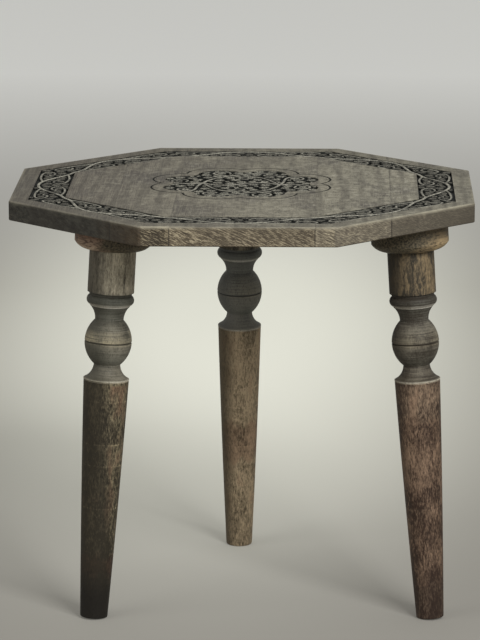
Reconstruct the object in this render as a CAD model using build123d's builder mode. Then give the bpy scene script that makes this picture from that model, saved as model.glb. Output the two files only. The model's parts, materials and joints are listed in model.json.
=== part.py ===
from build123d import *
from math import cos, radians, sin, tan
import os

# The table as a whole, in mm and degrees. Z is up, the floor is at zero, the front edge faces -Y.
table_height = 369
top_across = 400
top_thickness = 17
leg_splay = 3.9

# Where each leg's axis meets the underside: distance from the middle, and bearing from +X.
left_reach, left_bearing = 132, -146
right_reach, right_bearing = 160, -26
back_reach, back_bearing = 137, 93

# The top: boards glued edge to edge, their joints given as shares of the width.
joint_shares = (-0.27, -0.143, 0.16, 0.32)
corner_round = 1.6
upper_arris = 1.2
lower_arris = 0.8

# The carving: a band that follows the edge, and a lobed medallion inside a cut line.
margin_width = 16
band_width = 31.5
carving_depth = 2.6
medallion_right = -2.5
medallion_back = 10
lobe_count = 8
lobe_reach = 83
lobe_waist = 71
border_width = 11
line_width = 1.2
line_depth = 0.9

# The relief that stands up from the carving's ground. A stem is drawn towards its points, and a
# leaf is given by its middle, its reach and its bearing in degrees. In the band, places are shares
# of a side and of half the band's width, for one side of eight, and each is cut mirrored too. In
# the medallion they are shares of its reach, and each is cut again half a turn on.
relief_height = 1.5
stem_width = 1.7
hand_drift = 0.8
drift_wave = 17
leaf_corner_shares = ((0, 0.95), (32, 0.58), (63, 0.89), (95, 0.55), (126, 0.82), (180, 0.47))
band_wave_share = 0.84
band_stem_shares = (
    ((0.12, 0.60), (0.21, 0.80), (0.33, 0.82), (0.43, 0.73), (0.475, 0.38), (0.43, 0.05),
     (0.36, 0.08), (0.345, 0.32)),
    ((0.40, -0.635), (0.30, -0.825), (0.19, -0.845), (0.085, -0.73), (0.045, -0.32),
     (0.09, 0.013), (0.16, -0.04), (0.18, -0.29)),
)
band_leaf_shares = (
    (0.054, 0.23, 0.37, 119), (0.500, -0.09, 0.37, -137), (0.000, -0.24, 0.37, 170),
    (0.282, 0.32, 0.37, 68), (0.500, 0.66, 0.37, 149), (0.225, -0.42, 0.37, 93),
    (0.431, -0.31, 0.37, 72), (0.132, -0.40, 0.33, -106), (0.036, -0.75, 0.29, -142),
    (0.401, 0.40, 0.29, 98),
)
medallion_stem_shares = (
    ((0.40, -0.04), (0.36, -0.22), (0.24, -0.41), (0.07, -0.54), (-0.11, -0.65), (-0.29, -0.69),
     (-0.41, -0.59), (-0.35, -0.48), (-0.24, -0.53)),
    ((0.40, -0.04), (0.34, 0.14), (0.24, 0.36), (0.11, 0.46), (-0.04, 0.42), (-0.05, 0.31),
     (0.05, 0.28)),
    ((0.40, -0.04), (0.46, 0.13), (0.46, 0.34), (0.54, 0.48), (0.67, 0.41), (0.67, 0.28),
     (0.57, 0.24)),
    ((0.40, -0.04), (0.55, 0.02), (0.71, -0.04), (0.76, -0.19), (0.67, -0.31), (0.55, -0.24),
     (0.58, -0.13)),
    ((0.16, -0.48), (0.27, -0.54), (0.35, -0.65), (0.27, -0.76), (0.14, -0.73), (0.14, -0.64)),
)
middle_stem_shares = ((0.40, -0.04), (0.29, 0.07), (0.14, 0.10), (0, 0), (-0.14, -0.10),
                      (-0.29, -0.07), (-0.40, 0.04))
medallion_leaf_shares = (
    (-0.390, 0.553, 0.077, -153), (0.291, 0.411, 0.077, 31), (-0.459, 0.226, 0.077, 159),
    (-0.009, 0.100, 0.077, 130), (-0.129, 0.359, 0.077, 176), (-0.631, -0.153, 0.077, 110),
    (0.154, 0.251, 0.077, -14), (-0.048, 0.660, 0.077, 114), (-0.244, 0.206, 0.077, -26),
    (-0.181, -0.748, 0.077, -79), (-0.255, 0.051, 0.077, 51), (0.745, 0.273, 0.077, -24),
    (-0.159, -0.559, 0.077, -19), (-0.654, 0.382, 0.077, 92), (-0.366, 0.377, 0.077, 136),
    (0.430, 0.459, 0.077, 143), (-0.073, 0.237, 0.077, -132), (0.373, 0.286, 0.077, 168),
    (0.528, -0.340, 0.077, -133), (-0.579, -0.347, 0.077, 23), (0.492, -0.095, 0.077, -67),
    (-0.231, 0.650, 0.077, 179), (0.119, -0.026, 0.077, -57), (0.039, 0.520, 0.067, -48),
    (-0.654, 0.166, 0.067, 169), (0.092, 0.360, 0.067, -101), (0.325, 0.738, 0.067, 75),
    (0.278, -0.467, 0.067, 49), (-0.397, 0.687, 0.067, 167), (-0.248, -0.154, 0.067, 23),
)

# The pads that the legs screw into.
pad_radius = 33.5
pad_thickness = 26
pad_round_width = 11
pad_round_height = 6.5

# The turned leg, from its seat on the pad down to the foot: radii, then lengths along its axis.
collar_radius = 20.2
nick_radius = 18.4
bead_radius = 20.6
bead_root_radius = 17.9
fillet_radius = 17.3
upper_neck_radius = 12.4
ball_radius = 20.5
ball_end_radius = 12
lower_neck_radius = 11.5
lip_radius = 19.9
lip_nick_radius = 18.9
shaft_top_radius = 19.7
foot_radius = 12
shaft_swell = 0.45
foot_round = 1
collar_length = 37.5
nick_width = 2.5
bead_height = 8.6
fillet_height = 1
upper_cove_height = 11.9
ball_height = 39
lower_cove_height = 13
lip_height = 0.5
lip_nick_height = 1
girdle_width = 1.6
girdle_depth = 1.2
scribe_width = 0.9
scribe_depth = 0.5
scribe_rise = 4.5

# The fixing: a hanger bolt in each leg, a flanged insert and three wood screws in each pad.
bolt_radius = 4
bolt_in_leg = 38
bolt_in_insert = 17.5
bolt_bevel = 0.8
bolt_point = 6
insert_radius = 6
insert_length = 18
flange_radius = 8.8
flange_thickness = 1.5
screw_count = 3
screw_circle_radius = 13.4
screw_radius = 2
screw_head_radius = 3.8
screw_head_height = 2.4
screw_length = 37
screw_point = 4
fit_clearance = 0.05
sunk_depth = 0.3
bore_spare = 0.5
overrun = 5

os.makedirs("parts", exist_ok=True)

underside = table_height - top_thickness
lean = radians(leg_splay)
to_floor = underside - foot_round - (foot_radius - foot_round) * sin(lean)
leg_end = to_floor / cos(lean) + foot_round


def leg_plane(reach, bearing):
    """The plane across a leg where its axis meets the underside, with Z up along the leg."""
    outward = Vector(cos(radians(bearing)), sin(radians(bearing)), 0)
    upward = Axis.Z.direction * cos(lean) - outward * sin(lean)
    sideways = upward.cross(Axis.X.direction).normalized()
    middle = outward * reach + Axis.Z.direction * underside
    return Plane(origin=middle, x_dir=sideways.cross(upward), z_dir=upward)


leg_planes = {
    "left": leg_plane(left_reach, left_bearing),
    "right": leg_plane(right_reach, right_bearing),
    "back": leg_plane(back_reach, back_bearing),
}



def hand_cut(right, back):
    """A place of the carving's pattern, a little off where a drawn pattern has it."""
    return (right + hand_drift * sin((right + 0.6 * back) / drift_wave + 1),
            back + hand_drift * sin((0.9 * back - 0.55 * right) / drift_wave))


def stem_edges(points, closed=False):
    """The two edges of a stem that is drawn towards the given points."""
    around = [points[-1], *points, *points[:2]] if closed else [
        *points[:1] * 2, *points, *points[-1:] * 2]
    places = []
    for four in zip(around, around[1:], around[2:], around[3:]):
        for part in (0, 0.5):
            pulls = ((1 - part) ** 3, 3 * part ** 3 - 6 * part ** 2 + 4,
                     1 + 3 * part + 3 * part ** 2 - 3 * part ** 3, part ** 3)
            places.append(sum((Vector(*point) * (pull / 6) for point, pull in zip(four, pulls)),
                              Vector()))
    if closed:
        before, after = [places[-1], *places[:-1]], [*places[1:], places[0]]
    else:
        places = [places[0], *places[2:-1], Vector(*points[-1])]
        before, after = [places[0], *places[:-1]], [*places[1:], places[-1]]
    edges = [], []
    for last, place, following in zip(before, places, after):
        across = (following - last).cross(Axis.Z.direction).normalized() * (stem_width / 2)
        edges[0].append(place + across)
        edges[1].append(place - across)
    return edges


def carved_stem(points):
    """The outline of a stem that ends at its first and last points."""
    one, other = stem_edges(points)
    return Face(Wire([
        Edge.make_spline(one), Edge.make_line(one[-1], other[-1]),
        Edge.make_spline(other[::-1]), Edge.make_line(other[0], one[0]),
    ]))


def carved_leaf(middle, reach, bearing):
    """The outline of a leaf of five lobes, its tip turned to the bearing."""
    corners = [(turn, share) for turn, share in leaf_corner_shares]
    corners += [(-turn, share) for turn, share in leaf_corner_shares[-2:0:-1]]
    return Face(Wire.make_polygon([
        (middle[0] + reach * share * cos(radians(bearing + turn)),
         middle[1] + reach * share * sin(radians(bearing + turn)))
        for turn, share in corners
    ]))


# The band's relief: one wavy stem all the way round, with side stems and leaves.
octagon_turn = 180 / 8
band_outer = top_across / 2 - margin_width
band_middle = band_outer - band_width / 2


def band_point(side, along, out):
    """A place in the band, which a share along the side and a share outwards give."""
    distance = band_middle + out * band_width / 2
    sideways = 2 * along * distance * tan(radians(octagon_turn))
    turn = radians(2 * octagon_turn * side)
    return hand_cut(sideways * cos(turn) + distance * sin(turn),
                    sideways * sin(turn) - distance * cos(turn))


wave = [band_point(side, step / 12, band_wave_share * cos(radians(30 * step)))
        for side in range(8) for step in range(-6, 6)]
inner, outer = sorted((Wire([Edge.make_spline(edge, periodic=True)])
                       for edge in stem_edges(wave, closed=True)), key=lambda wire: wire.length)
band_relief = [Face(outer, [inner])]
for side in range(8):
    for mirror in (1, -1):
        for stem in band_stem_shares:
            band_relief.append(carved_stem(
                [band_point(side, mirror * along, out) for along, out in stem]))
        for along, out, reach, bearing in band_leaf_shares:
            if mirror == 1 or 0 < along < 0.5:
                tip = bearing if mirror == 1 else 180 - bearing
                band_relief.append(carved_leaf(
                    band_point(side, mirror * along, out), reach * band_width / 2,
                    2 * octagon_turn * side - tip))

# The medallion's relief: stems that curl out of two knots, with leaves between them.
medallion_relief = [carved_stem([hand_cut(right * lobe_reach, back * lobe_reach)
                                 for right, back in middle_stem_shares])]
for twin in (1, -1):
    for stem in medallion_stem_shares:
        medallion_relief.append(carved_stem(
            [hand_cut(twin * right * lobe_reach, twin * back * lobe_reach)
             for right, back in stem]))
    for right, back, reach, bearing in medallion_leaf_shares:
        medallion_relief.append(carved_leaf(
            hand_cut(twin * right * lobe_reach, twin * back * lobe_reach),
            reach * lobe_reach, bearing + 90 - 90 * twin))

# The medallion's lobed outline, the inner edge of its cut line, and the ground in its border.
with BuildSketch() as medallion:
    with BuildLine():
        for lobe in range(lobe_count):
            start, middle, end = ((lobe + share) * 360 / lobe_count for share in (0, 0.5, 1))
            ThreePointArc(
                (lobe_waist * cos(radians(start)), lobe_waist * sin(radians(start))),
                (lobe_reach * cos(radians(middle)), lobe_reach * sin(radians(middle))),
                (lobe_waist * cos(radians(end)), lobe_waist * sin(radians(end))),
            )
    make_face()
lobed_face = medallion.sketch.face()
border_face = offset(lobed_face, amount=-line_width).face()
ground_face = offset(lobed_face, amount=-border_width).face()

# The whole top: an octagon with softened corners and arrises.
with BuildPart() as whole_top:
    with BuildSketch(Plane.XY.offset(underside)):
        RegularPolygon(top_across / 2, side_count=8, major_radius=False, rotation=octagon_turn)
    extrude(amount=top_thickness)
    fillet(whole_top.edges().filter_by(Axis.Z), radius=corner_round)
    fillet(whole_top.faces().sort_by(Axis.Z)[-1].edges(), radius=upper_arris)
    chamfer(whole_top.faces().sort_by(Axis.Z)[0].edges(), length=lower_arris)

    # The band is sunk between two octagons, and then its ground is cut away round the relief.
    relief_drop = carving_depth - relief_height
    for level, depth, relief in ((table_height, relief_drop, []),
                                 (table_height - relief_drop, relief_height, band_relief)):
        with BuildSketch(Plane.XY.offset(level)):
            RegularPolygon(band_outer, side_count=8, major_radius=False, rotation=octagon_turn)
            RegularPolygon(band_outer - band_width, side_count=8, major_radius=False,
                           rotation=octagon_turn, mode=Mode.SUBTRACT)
            if relief:
                add(relief, mode=Mode.SUBTRACT)
        extrude(amount=-depth, mode=Mode.SUBTRACT)

    # The medallion has a thin cut line, a border, and a ground cut away round its relief.
    medallion_plane = Plane(
        origin=Vector(medallion_right, medallion_back, table_height), z_dir=Axis.Z.direction
    )
    with BuildSketch(medallion_plane):
        add(lobed_face)
        add(border_face, mode=Mode.SUBTRACT)
    extrude(amount=-line_depth, mode=Mode.SUBTRACT)
    with BuildSketch(medallion_plane):
        add(ground_face)
    extrude(amount=-relief_drop, mode=Mode.SUBTRACT)
    with BuildSketch(medallion_plane.offset(-relief_drop)):
        add(ground_face)
        add(medallion_relief, mode=Mode.SUBTRACT)
    extrude(amount=-relief_height, mode=Mode.SUBTRACT)

    # The pad screws' holes run up into the boards, square to each pad's seat.
    for plane in leg_planes.values():
        with BuildSketch(plane.offset(-pad_thickness)):
            with PolarLocations(screw_circle_radius, screw_count):
                Circle(screw_radius + fit_clearance)
        extrude(amount=screw_length + bore_spare, mode=Mode.SUBTRACT)

# The boards are strips of the whole top, parted along the glue joints.
joints = [-top_across / 2 - overrun, *(share * top_across for share in joint_shares)]
joints.append(top_across / 2 + overrun)
for number, (left_joint, right_joint) in enumerate(zip(joints, joints[1:]), start=1):
    with BuildPart() as top_board:
        add(whole_top.part)
        with BuildSketch(Plane.XY.offset(underside - overrun)):
            with Locations(((left_joint + right_joint) / 2, 0)):
                Rectangle(right_joint - left_joint, top_across + overrun)
        extrude(amount=top_thickness + 2 * overrun, mode=Mode.INTERSECT)
    top_board.part.label = f"top_board_{number}"
    export_step(top_board.part, f"parts/top_board_{number}.step")

# Heights along the leg, from its seat downwards, as negative values on the leg's own plane.
seat = -pad_thickness
nick_top = seat - collar_length
bead_top = nick_top - nick_width
bead_foot = bead_top - bead_height
cove_top = bead_foot - fillet_height
ball_top = cove_top - upper_cove_height
ball_foot = ball_top - ball_height
lip_top = ball_foot - lower_cove_height
lip_foot = lip_top - lip_height
shaft_top = lip_foot - lip_nick_height
ball_middle = (ball_top + ball_foot) / 2
bore_end = seat - bolt_in_leg - bore_spare
bolt_bore = bolt_radius + fit_clearance
shaft_middle = ((shaft_top_radius + foot_radius) / 2 + shaft_swell, (shaft_top - leg_end) / 2)

for side, plane in leg_planes.items():
    turning_plane = Plane(origin=plane.origin, x_dir=plane.x_dir, z_dir=-plane.y_dir)
    turning_axis = Axis(plane.origin, plane.z_dir)
    seat_plane = plane.offset(seat)

    # The pad is turned square to the leg, and its top is planed to lie flat under the boards.
    with BuildPart() as leg_pad:
        with BuildSketch(turning_plane):
            with BuildLine():
                pad_side = (pad_radius, seat + pad_round_height)
                pad_seat = (pad_radius - pad_round_width, seat)
                Polyline(pad_seat, (0, seat), (0, overrun), (pad_radius, overrun), pad_side)
                SagittaArc(pad_side, pad_seat, pad_round_height / 4)
            make_face()
        revolve(axis=turning_axis)
        split(bisect_by=Plane.XY.offset(underside), keep=Keep.BOTTOM)
        with BuildSketch(seat_plane):
            Circle(flange_radius + fit_clearance)
        extrude(amount=flange_thickness + sunk_depth, mode=Mode.SUBTRACT)
        with BuildSketch(seat_plane):
            Circle(insert_radius + fit_clearance)
        extrude(amount=insert_length + bore_spare, mode=Mode.SUBTRACT)
        with Locations(seat_plane):
            with PolarLocations(screw_circle_radius, screw_count):
                with Locations((0, 0, sunk_depth)):
                    Cone(screw_head_radius + fit_clearance, screw_radius + fit_clearance,
                         screw_head_height, mode=Mode.SUBTRACT,
                         align=(Align.CENTER, Align.CENTER, Align.MIN))
                Cylinder(screw_head_radius + fit_clearance, sunk_depth, mode=Mode.SUBTRACT,
                         align=(Align.CENTER, Align.CENTER, Align.MIN))
                Cylinder(screw_radius + fit_clearance, screw_length, mode=Mode.SUBTRACT,
                         align=(Align.CENTER, Align.CENTER, Align.MIN))
    leg_pad.part.label = f"leg_pad_{side}"
    export_step(leg_pad.part, f"parts/leg_pad_{side}.step")

    # The leg is turned in one piece: collar, bead, ball between two necks, and tapered shaft.
    with BuildPart() as leg:
        with BuildSketch(turning_plane):
            with BuildLine():
                Polyline((0, bore_end), (bolt_bore, bore_end), (bolt_bore, seat),
                         (collar_radius, seat), (collar_radius, nick_top),
                         (nick_radius, nick_top), (nick_radius, bead_top),
                         (bead_root_radius, bead_top))
                ThreePointArc((bead_root_radius, bead_top),
                              (bead_radius, (bead_top + bead_foot) / 2),
                              (bead_root_radius, bead_foot))
                Polyline((bead_root_radius, bead_foot), (fillet_radius, bead_foot),
                         (fillet_radius, cove_top))
                TangentArc((upper_neck_radius, ball_top), (fillet_radius, cove_top),
                           tangent=(0, 1))
                Line((upper_neck_radius, ball_top), (ball_end_radius, ball_top))
                ThreePointArc((ball_end_radius, ball_top), (ball_radius, ball_middle),
                              (ball_end_radius, ball_foot))
                Line((ball_end_radius, ball_foot), (lower_neck_radius, ball_foot))
                TangentArc((lower_neck_radius, ball_foot), (lip_radius, lip_top),
                           tangent=(0, -1))
                Polyline((lip_radius, lip_top), (lip_radius, lip_foot),
                         (lip_nick_radius, (lip_foot + shaft_top) / 2),
                         (shaft_top_radius, shaft_top))
                ThreePointArc((shaft_top_radius, shaft_top), shaft_middle,
                              (foot_radius, foot_round - leg_end))
                TangentArc((foot_radius, foot_round - leg_end),
                           (foot_radius - foot_round, -leg_end), tangent=(0, -1))
                Polyline((foot_radius - foot_round, -leg_end), (0, -leg_end), (0, bore_end))
            make_face()
        revolve(axis=turning_axis)
        grooves = ((ball_middle, girdle_width, girdle_depth),
                   (ball_middle + scribe_rise, scribe_width, scribe_depth))
        for height, width, depth in grooves:
            with BuildSketch(turning_plane):
                with BuildLine():
                    Polyline((ball_radius - depth, height), (ball_radius + depth, height - width),
                             (ball_radius + depth, height + width), close=True)
                make_face()
            revolve(axis=turning_axis, mode=Mode.SUBTRACT)
    leg.part.label = f"leg_{side}"
    export_step(leg.part, f"parts/leg_{side}.step")

    # The hanger bolt: a wood thread fast in the leg, a machine thread in the insert.
    with BuildPart() as hanger_bolt:
        with BuildSketch(turning_plane):
            with BuildLine():
                bolt_top = seat + bolt_in_insert
                bolt_foot = seat - bolt_in_leg
                Polyline((0, bolt_top), (bolt_radius - bolt_bevel, bolt_top),
                         (bolt_radius, bolt_top - bolt_bevel),
                         (bolt_radius, bolt_foot + bolt_point), (0, bolt_foot), close=True)
            make_face()
        revolve(axis=turning_axis)
    hanger_bolt.part.label = f"hanger_bolt_{side}"
    export_step(hanger_bolt.part, f"parts/hanger_bolt_{side}.step")

    # The threaded insert sits in the pad with its flange just below the seat.
    with BuildPart() as threaded_insert:
        with BuildSketch(seat_plane.offset(sunk_depth)):
            Circle(flange_radius)
            Circle(bolt_bore, mode=Mode.SUBTRACT)
        extrude(amount=flange_thickness)
        with BuildSketch(seat_plane.offset(sunk_depth)):
            Circle(insert_radius)
            Circle(bolt_bore, mode=Mode.SUBTRACT)
        extrude(amount=insert_length)
    threaded_insert.part.label = f"threaded_insert_{side}"
    export_step(threaded_insert.part, f"parts/threaded_insert_{side}.step")

    # Three countersunk screws hold each pad to the boards, hidden by the leg's seat.
    with BuildPart() as pad_screws:
        with Locations(seat_plane.offset(sunk_depth)):
            with PolarLocations(screw_circle_radius, screw_count):
                Cone(screw_head_radius, screw_radius, screw_head_height,
                     align=(Align.CENTER, Align.CENTER, Align.MIN))
                Cylinder(screw_radius, screw_length - sunk_depth - screw_point,
                         align=(Align.CENTER, Align.CENTER, Align.MIN))
                with Locations((0, 0, screw_length - sunk_depth - screw_point)):
                    Cone(screw_radius, 0, screw_point,
                         align=(Align.CENTER, Align.CENTER, Align.MIN))
    pad_screws.part.label = f"pad_screws_{side}"
    export_step(pad_screws.part, f"parts/pad_screws_{side}.step")
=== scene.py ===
import bpy
import json
from functools import partial
from math import atan2, ceil, cos, degrees, hypot, pi, radians, sin, tan
from mathutils import Matrix, Vector
from mathutils.kdtree import KDTree
from random import Random


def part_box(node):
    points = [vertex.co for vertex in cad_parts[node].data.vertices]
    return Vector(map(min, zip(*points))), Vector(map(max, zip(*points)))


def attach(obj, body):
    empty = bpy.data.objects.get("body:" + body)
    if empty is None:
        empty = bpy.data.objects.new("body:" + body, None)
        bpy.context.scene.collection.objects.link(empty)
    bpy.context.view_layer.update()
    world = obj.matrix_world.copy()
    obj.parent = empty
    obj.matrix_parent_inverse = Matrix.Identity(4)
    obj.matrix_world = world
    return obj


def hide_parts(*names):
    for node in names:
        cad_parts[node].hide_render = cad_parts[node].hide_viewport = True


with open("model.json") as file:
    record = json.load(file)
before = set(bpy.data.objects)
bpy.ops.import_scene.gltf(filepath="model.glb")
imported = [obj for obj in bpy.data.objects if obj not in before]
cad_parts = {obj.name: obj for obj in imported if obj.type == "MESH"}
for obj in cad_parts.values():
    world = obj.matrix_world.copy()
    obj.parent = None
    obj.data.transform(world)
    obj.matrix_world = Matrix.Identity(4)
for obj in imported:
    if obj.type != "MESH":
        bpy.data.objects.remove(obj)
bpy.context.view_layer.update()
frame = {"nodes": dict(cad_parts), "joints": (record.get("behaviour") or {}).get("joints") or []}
bpy.ops.object.select_all(action="DESELECT")
MM = 0.001


# The five boards of the top: a light hardwood such as mango, stained dark and then rubbed back to
# a washed grey-brown. They run from the front edge to the back, are glued edge to edge, and show
# end grain on the front and back edges.
board_names = [f"top_board_{number}" for number in range(1, 6)]
top_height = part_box("top_board_3")[1].z
top_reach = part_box("top_board_3")[1].y
top_thickness = top_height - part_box("top_board_3")[0].z
carving_depth = 2.6 * MM
carving_limit = top_reach - 14 * MM
joint_places = [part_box(name)[1].x for name in board_names[:4]]
edge_shades = [("#54493a", "#b3a68a"), ("#3b3326", "#93876e"), ("#584e3e", "#b3a68a"),
               ("#6c6353", "#bcb095"), ("#6c6353", "#bcb095")]


def linear(hex_colour):
    """The linear RGBA of a colour written as an sRGB hex value."""
    channels = [int(hex_colour[i:i + 2], 16) / 255 for i in (1, 3, 5)]
    return [c / 12.92 if c <= 0.04045 else ((c + 0.055) / 1.055) ** 2.4 for c in channels] + [1.0]


def add_node(tree, kind, inputs=None, **settings):
    """Adds a node whose inputs are values or other nodes' outputs, and gives its first output."""
    made = tree.nodes.new(kind)
    for name, value in settings.items():
        setattr(made, name, value)
    for key, value in (inputs or {}).items():
        if isinstance(key, int):
            socket = made.inputs[key]
        else:
            socket = next(one for one in made.inputs if one.enabled and one.name == key)
        if isinstance(value, bpy.types.NodeSocket):
            tree.links.new(value, socket)
        else:
            socket.default_value = value
    return next((one for one in made.outputs if one.enabled), None)


def start_material(name, **constants):
    """A new material: its tree, and its Principled shader with the constants set on it."""
    material = bpy.data.materials.new(name)
    material.use_nodes = True
    tree = material.node_tree
    tree.nodes.clear()
    surface = add_node(tree, "ShaderNodeBsdfPrincipled")
    for socket, value in constants.items():
        surface.node.inputs[socket.replace("_", " ")].default_value = value
    add_node(tree, "ShaderNodeOutputMaterial", {"Surface": surface})
    return material, tree, surface.node


def washed_board_wood(name, number):
    """Open-pored hardwood under a grey wash: cloudy, with fine grain along Y, near-black where
    the stain lies deep in the carving, pale and bare along the worn upper arris."""
    material, tree, shader = start_material(name, IOR=1.5, Specular_IOR_Level=0.4)
    node = partial(add_node, tree)
    math = partial(add_node, tree, "ShaderNodeMath")
    mix = partial(add_node, tree, "ShaderNodeMix", data_type="RGBA")
    place = node("ShaderNodeTexCoord").node.outputs["Object"]
    parts = node("ShaderNodeSeparateXYZ", {"Vector": place}).node.outputs
    height = math({0: parts["Z"], 1: top_height}, operation="SUBTRACT")

    # How far out a point lies, measured square to the nearest side of the octagon.
    folded = node("ShaderNodeVectorMath", {"Vector": place}, operation="ABSOLUTE")
    fold = node("ShaderNodeSeparateXYZ", {"Vector": folded}).node.outputs
    diagonal = math({0: math({0: fold["X"], 1: fold["Y"]}), 1: cos(pi / 4)}, operation="MULTIPLY")
    out = math({0: math({0: fold["X"], 1: fold["Y"]}, operation="MAXIMUM"), 1: diagonal},
               operation="MAXIMUM")

    # Fibres 1 mm wide and some 45 mm long, clouds of 40 to 90 mm, and pores 0.7 by 5 mm.
    fibres = node("ShaderNodeTexNoise", {"Vector": node("ShaderNodeMapping", {
        "Vector": place, "Location": (17.0 * number, 5.0 * number, 0),
        "Scale": (1 / (1.0 * MM), 1 / (45 * MM), 1 / (1.0 * MM))}),
        "Scale": 1.0, "Detail": 5.0, "Roughness": 0.62})
    clouds = node("ShaderNodeTexNoise", {"Vector": node("ShaderNodeMapping", {
        "Vector": place, "Location": (3.0 * number, 9.0 * number, 0),
        "Scale": (1 / (42 * MM), 1 / (75 * MM), 1 / (42 * MM))}),
        "Scale": 1.0, "Detail": 3.0, "Roughness": 0.55})
    pores = node("ShaderNodeMapRange", {"Value": node("ShaderNodeTexNoise", {
        "Vector": node("ShaderNodeMapping", {"Vector": place, "Location": (number, 0, 0),
                                             "Scale": (1 / (0.7 * MM), 1 / (5 * MM), 1 / (0.7 * MM))}),
        "Scale": 1.0, "Detail": 1.0}), "From Min": 0.6, "From Max": 0.72})
    rings = node("ShaderNodeTexWave", {"Vector": node("ShaderNodeMapping", {
        "Vector": place, "Location": (0.7 * number - 2.4, 2.1 - 0.37 * number, 0),
        "Scale": (1 / (26 * MM), 1 / (150 * MM), 1 / (26 * MM))}),
        "Scale": 1.7, "Distortion": 3.2, "Detail": 4.0, "Detail Scale": 1.6},
        wave_type="RINGS", rings_direction="SPHERICAL")
    ring_lines = node("ShaderNodeMapRange", {"Value": rings, "From Min": 0.45, "From Max": 1.0})
    mottle = node("ShaderNodeTexNoise", {"Vector": node("ShaderNodeMapping", {
        "Vector": place, "Location": (number, 3.0 * number, 0),
        "Scale": (1 / (5 * MM), 1 / (15 * MM), 1 / (5 * MM))}),
        "Scale": 1.0, "Detail": 6.0, "Roughness": 0.72})

    across = node("ShaderNodeMapRange", {"Value": parts["X"], "From Min": -0.16, "From Max": 0.16})
    wash = mix({"Factor": across, "A": linear("#59524a"), "B": linear("#8d8978")})
    bloom = node("ShaderNodeMapRange", {"Value": clouds, "From Min": 0.42, "From Max": 0.58})
    wash = mix({"Factor": math({0: bloom, 1: across}, operation="MULTIPLY"), "A": wash,
                "B": linear("#8a8576")})
    dim = node("ShaderNodeMapRange", {"Value": clouds, "From Min": 0.5, "From Max": 0.34,
                                      "To Max": 0.75})
    wash = mix({"Factor": dim, "A": wash, "B": linear("#433d3a")})
    scratches = node("ShaderNodeTexNoise", {"Vector": node("ShaderNodeMapping", {
        "Vector": place, "Rotation": (0, 0, radians(12)),
        "Scale": (1 / (9 * MM), 1 / (3.5 * MM), 1 / (3.5 * MM))}),
        "Scale": 1.0, "Detail": 4.0, "Roughness": 0.7})
    scored = node("ShaderNodeMapRange", {"Value": scratches, "From Min": 0.46, "From Max": 0.36,
                                         "To Max": 0.6})
    wash = mix({"Factor": scored, "A": wash, "B": linear("#4c4842")})
    rubs = node("ShaderNodeMapRange", {"Value": math({
        0: math({0: mottle, 1: 0.5}, operation="MULTIPLY"),
        1: math({0: scratches, 1: 0.5}, operation="MULTIPLY")}),
        "From Min": 0.5, "From Max": 0.62, "To Max": 0.75})
    rubs = math({0: rubs, 1: math({0: 0.35, 1: across})}, operation="MULTIPLY", use_clamp=True)
    wash = mix({"Factor": rubs, "A": wash, "B": linear("#a9a494")})
    soaked = node("ShaderNodeMapRange", {"Value": mottle, "From Min": 0.48, "From Max": 0.34,
                                         "To Max": 0.6})
    wash = mix({"Factor": soaked, "A": wash, "B": linear("#423e38")})
    streak = node("ShaderNodeMapRange", {"Value": fibres, "From Min": 0.42, "From Max": 0.66,
                                         "To Max": 0.45})
    wash = mix({"Factor": streak, "A": wash, "B": linear("#97917f")})
    lines = math({0: ring_lines, 1: node("ShaderNodeMapRange", {
        "Value": clouds, "From Min": 0.38, "From Max": 0.6, "To Min": 0.08, "To Max": 0.48})},
        operation="MULTIPLY")
    wash = mix({"Factor": lines, "A": wash, "B": linear("#3f3a34")})
    wash = mix({"Factor": math({0: pores, 1: 0.5}, operation="MULTIPLY"), "A": wash,
                "B": linear("#3f3b35")})

    # Beyond the carving the margin is a shade darker, and the arris is rubbed to bare wood.
    margin = node("ShaderNodeMapRange", {"Value": out, "From Min": top_reach - 16 * MM,
                                         "From Max": top_reach - 14.5 * MM, "To Max": 0.35})
    wash = mix({"Factor": margin, "A": wash, "B": linear("#545046")})
    worn = math({0: node("ShaderNodeMapRange", {"Value": out, "From Min": top_reach - 2.6 * MM,
                                                "From Max": top_reach - 0.6 * MM}),
                 1: node("ShaderNodeMapRange", {"Value": height, "From Min": -3.0 * MM,
                                                "From Max": -1.0 * MM})}, operation="MULTIPLY")
    worn = math({0: worn, 1: node("ShaderNodeMapRange", {"Value": clouds, "From Min": 0.35,
                                                         "From Max": 0.6, "To Min": 0.05,
                                                         "To Max": 0.6})}, operation="MULTIPLY")

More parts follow.
